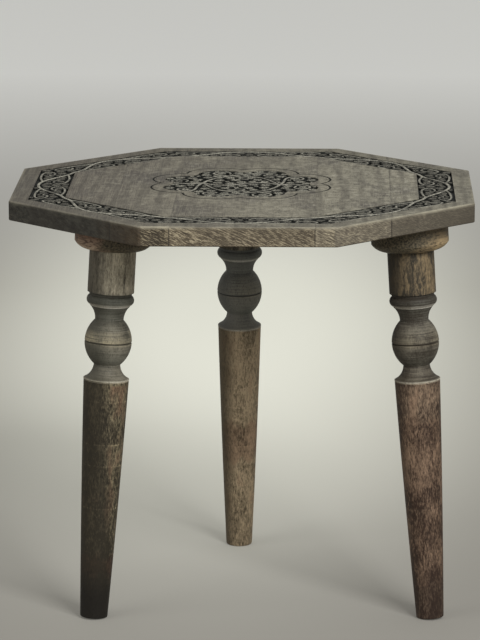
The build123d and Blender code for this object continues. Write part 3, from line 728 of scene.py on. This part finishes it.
def rubbed_leg_wood(name, side):
    """Dark stain over tan hardwood, worn through in streaks along the fibres and in rings left
    by the turning gouge, with bare pale lines on the arrises of the beads and grooves."""
    tone = leg_tones[side]
    material, tree, shader = start_material(name, IOR=1.5, Specular_IOR_Level=0.25)
    node = partial(add_node, tree)
    math = partial(add_node, tree, "ShaderNodeMath")
    mix = partial(add_node, tree, "ShaderNodeMix", data_type="RGBA")
    place = along_leg(node, side)
    down = math({0: node("ShaderNodeSeparateXYZ", {"Vector": place}).node.outputs["Z"], 1: -1.0},
                operation="MULTIPLY")

    # Streaks of 1 by 7 mm, mottling of 2.6 by 5 mm, patches of 12 by 34 mm, pores of 0.6 by 3.5 mm,
    # gouge rings 1.1 mm apart, and steps of 19 mm where the shaft was cut in several passes.
    def grain(across, along, detail, roughness):
        return node("ShaderNodeTexNoise", {"Vector": node("ShaderNodeMapping", {
            "Vector": place, "Location": (tone["shift"],) * 3,
            "Scale": (1 / (across * MM), 1 / (across * MM), 1 / (along * MM))}),
            "Scale": 1.0, "Detail": detail, "Roughness": roughness})

    streaks = grain(0.9, 5, 4.0, 0.7)
    mottling = grain(2.2, 4.2, 6.0, 0.75)
    patches = grain(12, 34, 2.0, 0.5)
    rings = grain(35, 1.1, 3.0, 0.6)
    pores = node("ShaderNodeMapRange", {"Value": grain(0.6, 3.5, 1.0, 0.5), "From Min": 0.58,
                                        "From Max": 0.7})
    turned = math({0: node("ShaderNodeMapRange", {"Value": down, "From Min": 37 * MM,
                                                  "From Max": 39 * MM}),
                   1: node("ShaderNodeMapRange", {"Value": down, "From Min": 115 * MM,
                                                  "From Max": 113 * MM})}, operation="MULTIPLY")
    fibrous = math({0: math({0: math({0: streaks, 1: mottling}), 1: -1.0}), 1: 0.72},
                   operation="MULTIPLY")
    flames = grain(3.2, 26, 3.0, 0.6)
    on_collar = node("ShaderNodeMapRange", {"Value": down, "From Min": 39 * MM,
                                            "From Max": 37 * MM})
    flamed = math({0: math({0: math({0: flames, 1: -0.5}), 1: 0.34}, operation="MULTIPLY"),
                   1: math({0: fibrous, 1: 0.6}, operation="MULTIPLY")})
    fibrous = node("ShaderNodeMix", {"Factor": on_collar, "A": fibrous, "B": flamed},
                   data_type="FLOAT")
    wear = node("ShaderNodeMix", {"Factor": math({0: turned, 1: 0.55}, operation="MULTIPLY"),
                                  "A": fibrous, "B": math({
                                      0: math({0: rings, 1: -0.5}), 1: 1.35},
                                      operation="MULTIPLY")},
                data_type="FLOAT")
    wear = math({0: wear, 1: math({
        0: math({0: patches, 1: -0.5}), 1: 0.5}, operation="MULTIPLY")})
    wavy = math({0: down, 1: math({0: mottling, 1: 3 * MM}, operation="MULTIPLY")})
    step = node("ShaderNodeTexWhiteNoise", {"W": math({
        0: wavy, 1: 19 * MM}, operation="SNAP")}, noise_dimensions="1D")
    ledge = node("ShaderNodeMapRange", {"Value": math({
        0: wavy, 1: 19 * MM}, operation="MODULO"), "From Min": 1.4 * MM, "From Max": 0.4 * MM})
    ledge = math({0: ledge, 1: math({0: step, 1: 0.42}, operation="GREATER_THAN")},
                 operation="MULTIPLY")
    broken = node("ShaderNodeMapRange", {"Value": mottling, "From Min": 0.42, "From Max": 0.58,
                                         "To Max": 0.7})
    on_shaft = node("ShaderNodeMapRange", {"Value": down, "From Min": 116 * MM,
                                           "From Max": 118 * MM})
    passes = math({0: math({0: step, 1: 0.2}, operation="MULTIPLY"),
                   1: math({0: math({0: ledge, 1: broken}, operation="MULTIPLY"),
                            1: tone["ledges"]}, operation="MULTIPLY")})
    passes = math({0: passes, 1: on_shaft}, operation="MULTIPLY")

    share = math({0: down, 1: turned_length * MM}, operation="DIVIDE")
    bands = {}
    collar, turnings, shaft = tone["zones"]
    lifts = [collar if row[0] < 37.5 else turnings if row[0] < 114.5 else shaft
             for row in turning_finish]
    bare, stained = tone["shaft"]
    for which, colours in (("rubbed", [(row[1].replace("shaft", bare).replace("collar", tone["collar"]),
                                        min(row[2] + lift, 1.0))
                                       for row, lift in zip(turning_finish, lifts)]),
                           ("stained", [(row[3].replace("shaft", stained), 1.0)
                                        for row in turning_finish])):
        ramp = add_node(tree, "ShaderNodeValToRGB", {"Fac": share}).node
        stops = ramp.color_ramp.elements
        while len(stops) < len(turning_finish):
            stops.new(1.0)
        for stop, row, (colour, shown) in zip(stops, turning_finish, colours):
            stop.position = row[0] / turned_length
        for stop, (colour, shown) in zip(stops, colours):
            stop.color = linear(colour)[:3] + [shown]
        bands[which] = ramp.outputs

    shown = math({0: bands["rubbed"]["Alpha"], 1: math({0: passes, 1: -0.1})})
    worn = math({0: math({0: wear, 1: 3.2}, operation="MULTIPLY"), 1: shown}, use_clamp=True)
    colour = mix({"Factor": worn, "A": bands["stained"]["Color"], "B": bands["rubbed"]["Color"]})

    # The stain has gone rusty in places on the shaft, and the side of each leg away from the light is
    # darkened towards the stain's colour: painted shade.
    rust_share, rust_top, rust_foot = tone["rust"]
    rusty = math({0: node("ShaderNodeMapRange", {"Value": down, "From Min": rust_top * MM,
                                                 "From Max": (rust_top + 14) * MM}),
                  1: node("ShaderNodeMapRange", {"Value": down, "From Min": rust_foot * MM,
                                                 "From Max": (rust_foot - 12) * MM})},
                 operation="MULTIPLY")
    rusty = math({0: math({0: rusty, 1: 0.35}, operation="MULTIPLY"), 1: patches})
    ruddy = math({0: node("ShaderNodeMapRange", {"Value": rusty, "From Min": 0.56,
                                                 "From Max": 0.74, "To Max": rust_share}),
                  1: on_shaft}, operation="MULTIPLY")
    colour = mix({"Factor": ruddy, "A": colour, "B": mix({
        "Factor": worn, "A": linear("#33221a"), "B": linear("#80604c")})})
    # Painted shade on the left side of the leg, away from the light.
    up = -Vector(leg_hinges[side]["axis"])
    shaded = up.to_track_quat("Z", "Y").inverted() @ Vector((-1, -0.15, 0))
    radius = node("ShaderNodeMapRange", {"Value": down, "From Min": 115 * MM,
                                         "From Max": 326 * MM, "To Min": 20 * MM,
                                         "To Max": 13 * MM})
    thick_stem_and_painted_shade = math({0: node("ShaderNodeVectorMath", {0: place, 1: shaded}, operation="DOT_PRODUCT"),
                  1: radius}, operation="DIVIDE")
    thick_stem_and_painted_shade = math({0: thick_stem_and_painted_shade, 1: math({0: patches, 1: 0.6}, operation="MULTIPLY")})
    thick_stem_and_painted_shade = node("ShaderNodeMapRange", {"Value": thick_stem_and_painted_shade, "From Min": 0.55, "From Max": 1.05,
                                        "To Max": 0.8})
    colour = mix({"Factor": thick_stem_and_painted_shade, "A": colour, "B": bands["stained"]["Color"]})
    # The grey of the turned part; on the back leg it is set paler to make up for shade, which is
    # painted light.
    ball_share, ball_colour = tone["ball"]
    on_ball = math({0: turned, 1: ball_share}, operation="MULTIPLY")
    colour = mix({"Factor": on_ball, "A": colour, "B": linear(ball_colour)})
    girdle = math({0: node("ShaderNodeMapRange", {"Value": down, "From Min": 69 * MM,
                                                  "From Max": 77 * MM}),
                   1: node("ShaderNodeMapRange", {"Value": down, "From Min": 80.3 * MM,
                                                  "From Max": 80.0 * MM})}, operation="MULTIPLY")
    scored = math({0: math({0: down, 1: 77 * MM}, operation="SUBTRACT")}, operation="ABSOLUTE")
    girdle = math({0: girdle, 1: node("ShaderNodeMapRange", {
        "Value": scored, "From Min": 0.25 * MM, "From Max": 0.65 * MM, "To Min": 0.2})},
        operation="MULTIPLY")
    rubbed_ring = node("ShaderNodeMapRange", {"Value": math({0: rings, 1: patches}),
                                              "From Min": 0.8, "From Max": 1.1,
                                              "To Min": 0.2, "To Max": 1.0})
    girdle = math({0: math({0: girdle, 1: rubbed_ring}, operation="MULTIPLY"),
                   1: node("ShaderNodeMapRange", {"Value": streaks, "From Min": 0.4,
                                                  "From Max": 0.56, "To Min": 0.5 * tone["girdle"],
                                                  "To Max": tone["girdle"]})},
                  operation="MULTIPLY")
    colour = mix({"Factor": girdle, "A": colour, "B": linear("#ada286")})
    colour = mix({"Factor": math({0: pores, 1: 0.5}, operation="MULTIPLY"), "A": colour,
                  "B": linear("#1f1b16")})
    foot_share, foot_colour = tone["foot"]
    foot = node("ShaderNodeMapRange", {"Value": math({
        0: down, 1: math({0: patches, 1: 30 * MM}, operation="MULTIPLY")}),
        "From Min": 290 * MM, "From Max": 318 * MM, "To Max": foot_share})
    colour = mix({"Factor": foot, "A": colour, "B": linear(foot_colour)})
    tree.links.new(colour, shader.inputs["Base Color"])

    roughness = node("ShaderNodeMapRange", {"Value": wear, "From Min": -0.2, "From Max": 0.2,
                                            "To Min": 0.5, "To Max": 0.75})
    tree.links.new(roughness, shader.inputs["Roughness"])
    relief = math({0: wear, 1: pores}, operation="SUBTRACT")
    bump = node("ShaderNodeBump", {"Strength": 0.5, "Distance": 0.35 * MM, "Height": relief})
    tree.links.new(bump, shader.inputs["Normal"])
    return material


for side in leg_sides:
    leg = frame["nodes"][f"leg_{side}"]
    leg.data.materials.clear()
    leg.data.materials.append(rubbed_leg_wood(f"rubbed_leg_{side}", side))


# The fixings, all zinc plated steel: in each leg a hanger bolt, its coarse thread fast in the wood
# and its machine thread running in the flanged insert in the pad, and three countersunk screws
# that hold each pad to the boards. The inserts keep their CAD shape.
def zinc_plated_steel(name):
    """Clear zinc plate: pale grey with a faint bloom that dulls it in places."""
    material, tree, shader = start_material(name, Metallic=1.0)
    node = partial(add_node, tree)
    bloom = node("ShaderNodeTexNoise", {"Vector": node("ShaderNodeMapping", {
        "Vector": node("ShaderNodeTexCoord").node.outputs["Object"],
        "Scale": (1 / (2.5 * MM),) * 3}), "Scale": 1.0, "Detail": 3.0})
    tree.links.new(node("ShaderNodeMix", {"Factor": bloom, "A": linear("#8d8f90"),
                                          "B": linear("#bfc0bc")}, data_type="RGBA"),
                   shader.inputs["Base Color"])
    tree.links.new(node("ShaderNodeMapRange", {"Value": bloom, "From Min": 0.3, "From Max": 0.7,
                                               "To Min": 0.3, "To Max": 0.48}),
                   shader.inputs["Roughness"])
    return material


def cut_thread(name, core, crest, pitch, foot, top):
    """A closed threaded rod along Z, sizes in mm: one tooth wound up its core, the ends cut off."""
    drawn = bpy.data.curves.new(name, "CURVE")
    drawn.dimensions = "3D"
    tooth = drawn.splines.new("POLY")
    corners = [(core, 0), (core, 0.1), (crest, 0.42), (crest, 0.56), (core, 0.88), (core, 1)]
    tooth.points.add(len(corners) - 1)
    for point, (reach, rise) in zip(tooth.points, corners):
        point.co = (reach, 0, foot + (rise - 2) * pitch, 1)
    rod = bpy.data.objects.new(name, drawn)
    bpy.context.scene.collection.objects.link(rod)
    winding = rod.modifiers.new("winding", "SCREW")
    winding.axis = "Z"
    winding.screw_offset = pitch
    winding.iterations = ceil((top - foot) / pitch) + 3
    winding.steps = winding.render_steps = 20
    only(rod)
    bpy.ops.object.convert(target="MESH")
    bpy.ops.object.mode_set(mode="EDIT")
    bpy.ops.mesh.select_all(action="SELECT")
    bpy.ops.mesh.remove_doubles(threshold=0.001)
    for height, way in ((top, 1), (foot, -1)):
        bpy.ops.mesh.select_all(action="SELECT")
        bpy.ops.mesh.bisect(plane_co=(0, 0, height), plane_no=(0, 0, way), use_fill=True,
                            clear_outer=True)
    bpy.ops.mesh.select_all(action="SELECT")
    bpy.ops.mesh.normals_make_consistent(inside=False)
    bpy.ops.object.mode_set(mode="OBJECT")
    return rod


def from_seat(side):
    """Moves what is drawn in mm, with a leg's seat at the origin and Z up the leg, into place."""
    up = -Vector(leg_hinges[side]["axis"])
    return (Matrix.Translation(leg_hinges[side]["pos_m"])
            @ up.to_track_quat("Z", "Y").to_matrix().to_4x4() @ Matrix.Scale(MM, 4))


def shape_of(side, node):
    """The corners of a CAD node, in mm from its leg's seat."""
    inverse = from_seat(side).inverted()
    return [inverse @ corner.co for corner in frame["nodes"][node].data.vertices]


bolt_corners = shape_of("left", "hanger_bolt_left")
bolt_top, bolt_foot = max(c.z for c in bolt_corners), min(c.z for c in bolt_corners)
bolt_reach, bolt_bevel, bolt_point = 4.0, 0.8, 6.0
bolt = cut_thread("hanger_bolt", 3.35, bolt_reach, 1.25, 0.4, bolt_top)
for corner in bolt.data.vertices:
    room = min(1.0, (bolt_reach - max(corner.co.z - bolt_top + bolt_bevel, 0))
               / hypot(corner.co.x, corner.co.y))
    corner.co.xy *= room
wood_thread = cut_thread("wood_thread", 2.8, bolt_reach, 3.0, bolt_foot + 0.5, -3)
for corner in wood_thread.data.vertices:
    corner.co.xy *= min(1.0, (corner.co.z - bolt_foot) / bolt_point)
bpy.ops.mesh.primitive_cylinder_add(vertices=32, radius=3.9, depth=3.6, location=(0, 0, -1.3))
shank = bpy.context.object
bpy.ops.object.transform_apply(location=True)
only(bolt, wood_thread, shank)
bpy.ops.object.join()
bpy.ops.object.shade_smooth_by_angle(angle=radians(30))

screw_corners = shape_of("left", "pad_screws_left")
head_face, screw_tip = min(c.z for c in screw_corners), max(c.z for c in screw_corners)
head_height, head_reach, screw_reach, screw_point = 2.4, 3.8, 2.0, 4.0
screw = cut_thread("pad_screw", 1.3, screw_reach, 1.8, head_face + 5, screw_tip - 0.4)
for corner in screw.data.vertices:
    corner.co.xy *= min(1.0, (screw_tip - corner.co.z) / screw_point)
bpy.ops.mesh.primitive_cylinder_add(vertices=24, radius=1.9, depth=3.2,
                                    location=(0, 0, head_face + 3.8))
neck = bpy.context.object
bpy.ops.mesh.primitive_cone_add(vertices=32, radius1=head_reach, radius2=screw_reach,
                                depth=head_height, location=(0, 0, head_face + head_height / 2))
head = bpy.context.object
for turn in (0, pi / 2):
    bpy.ops.mesh.primitive_cube_add(size=1, location=(0, 0, head_face), rotation=(0, 0, turn),
                                    scale=(4.2, 0.9, 3.2))
    blade = bpy.context.object
    recess = head.modifiers.new("recess", "BOOLEAN")
    recess.operation = "DIFFERENCE"
    recess.object = blade
    only(head)
    bpy.ops.object.modifier_apply(modifier="recess")
    bpy.data.objects.remove(blade)
only(screw, neck, head)
bpy.ops.object.join()
bpy.ops.object.shade_smooth_by_angle(angle=radians(30))

zinc = zinc_plated_steel("zinc_plate")
for side in leg_sides:
    tips = sorted({(round(corner.x, 1), round(corner.y, 1))
                   for corner in shape_of(side, f"pad_screws_{side}")
                   if corner.z > screw_tip - 0.02})
    fixings = [(bolt, "hanger_bolt", Matrix(), f"bolt_{side}")]
    for count, tip in enumerate(tips, start=1):
        turn = Matrix.Rotation(gouge.uniform(0, pi), 4, "Z")
        fixings.append((screw, f"pad_screw_{count}", Matrix.Translation((*tip, 0)) @ turn,
                        "table_top"))
    for pattern, label, move, body in fixings:
        piece = bpy.data.objects.new(f"{label}_{side}_threaded", pattern.data.copy())
        bpy.context.scene.collection.objects.link(piece)
        piece.data.transform(from_seat(side) @ move)
        piece.data.materials.append(zinc)
        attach(piece, body)
        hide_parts(f"hanger_bolt_{side}" if body != "table_top" else f"pad_screws_{side}")
    insert = frame["nodes"][f"threaded_insert_{side}"]
    insert.data.materials.clear()
    insert.data.materials.append(zinc)
for pattern in (bolt, screw):
    bpy.data.objects.remove(pattern)


# The camera stands where the photograph was taken from: three and a third metres in front, a
# little to the right and above the top, looking down by twelve degrees.
camera_data = bpy.data.cameras.new("camera")
camera_data.sensor_width = 36
camera_data.lens = 3866.5 / 640 * camera_data.sensor_width
camera = bpy.data.objects.new("camera", camera_data)
bpy.context.scene.collection.objects.link(camera)
camera.location = (85.4 * MM, -3345.3 * MM, top_height + 586.1 * MM)
camera.rotation_euler = (radians(90 - 11.93), 0, radians(1.52))
bpy.context.scene.camera = camera


# A pale studio floor that runs up out of the picture, with soft daylight from the right.
def pale_floor(name, middle, painted_shade_colour, far):
    """Matt card with a painted pool of light behind the table and painted shade round it, where the
    table's feet stand, paler again far off. What the camera and reflections see of it glows a little,
    as painted light, and it keeps the soft shadow that the table throws on it."""
    material, tree, shader = start_material(name, Roughness=0.9)
    node = partial(add_node, tree)
    math = partial(add_node, tree, "ShaderNodeMath")
    spot = node("ShaderNodeMapping", {
        "Vector": node("ShaderNodeTexCoord").node.outputs["Object"],
        "Location": (0.08, -0.66, 0), "Scale": (1.8, 0.55, 0)})
    away = node("ShaderNodeVectorMath", {"Vector": spot}, operation="LENGTH").node
    # A painted pool of light behind the table; outside it the card turns to painted shade.
    pool = node("ShaderNodeMapRange", {"Value": away.outputs["Value"], "From Min": 0.1,
                                       "From Max": 0.85}, interpolation_type="SMOOTHSTEP")
    card = node("ShaderNodeMix", {"Factor": pool, "A": linear(middle), "B": linear(painted_shade_colour)},
                data_type="RGBA")
    depth = node("ShaderNodeSeparateXYZ", {"Vector": spot}).node.outputs["Y"]
    card = node("ShaderNodeMix", {"Factor": node("ShaderNodeMapRange", {
        "Value": depth, "From Min": 0.1, "From Max": 1.1}), "A": card, "B": linear(far)},
        data_type="RGBA")
    tree.links.new(card, shader.inputs["Base Color"])
    rays = node("ShaderNodeLightPath").node.outputs
    seen = math({0: math({0: rays["Is Camera Ray"], 1: rays["Is Glossy Ray"]}),
                 1: rays["Is Transmission Ray"]}, use_clamp=True)
    tree.links.new(card, shader.inputs["Emission Color"])
    tree.links.new(math({0: seen, 1: 0.3}, operation="MULTIPLY"),
                   shader.inputs["Emission Strength"])
    return material


bpy.ops.mesh.primitive_plane_add(size=20)
floor = bpy.context.object
floor.name = "floor"
# The colours of the painted pool of light, of the painted shade round it, and of the far floor.
floor.data.materials.append(pale_floor("pale_floor", "#e4e4d8", "#86837c", "#dcdcd9"))

world = bpy.data.worlds.new("studio")
bpy.context.scene.world = world
world.use_nodes = True
world.node_tree.nodes["Background"].inputs["Color"].default_value = linear("#e2e2de")
world.node_tree.nodes["Background"].inputs["Strength"].default_value = 0.55

for name, place, size, power in (("key_light", (1.3, -2.2, 1.9), 1.2, 72),
                                 ("fill_light", (-2.0, -1.2, 1.4), 1.6, 12)):
    light_data = bpy.data.lights.new(name, "AREA")
    light_data.size = size
    light_data.energy = power
    light = bpy.data.objects.new(name, light_data)
    bpy.context.scene.collection.objects.link(light)
    light.location = place
    aim = Vector((0, 0, 0.25)) - light.location
    light.rotation_euler = aim.to_track_quat("-Z", "Y").to_euler()

bpy.context.scene.view_settings.view_transform = "Standard"
